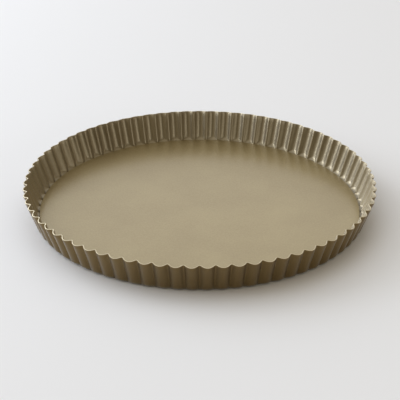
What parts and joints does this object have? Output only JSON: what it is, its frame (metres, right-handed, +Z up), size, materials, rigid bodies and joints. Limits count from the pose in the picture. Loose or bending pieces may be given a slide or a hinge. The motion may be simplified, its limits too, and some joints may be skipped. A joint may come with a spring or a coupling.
{
  "type": "fluted tart pan with lift-out base",
  "caption": "Round shallow fluted tart pan in gold-toned non-stick steel: a scalloped ring with an inturned ledge and a flat loose base that lifts out.",
  "frame": {"origin": "centre of the pan's underside, on the surface it stands on", "axes": "+Z up along the pan's axis; one inward ridge points to -Y (front); the base lifts out along +Z"},
  "size_m": [0.2818, 0.2817, 0.0254],
  "materials": {
    "gold_nonstick_ring": "satin gold-toned non-stick coating on pressed carbon steel",
    "gold_nonstick_base": "satin gold-toned non-stick coating on flat carbon steel"
  },
  "bodies": {
    "ring": {"fluted_ring": "gold_nonstick_ring"},
    "base": {"loose_base": "gold_nonstick_base"}
  },
  "joints": [
    {"name": "base_lift", "type": "slide", "parent": "ring", "child": "base", "axis": [0, 0, 1], "range_m": [0, 0.06]}
  ]
}
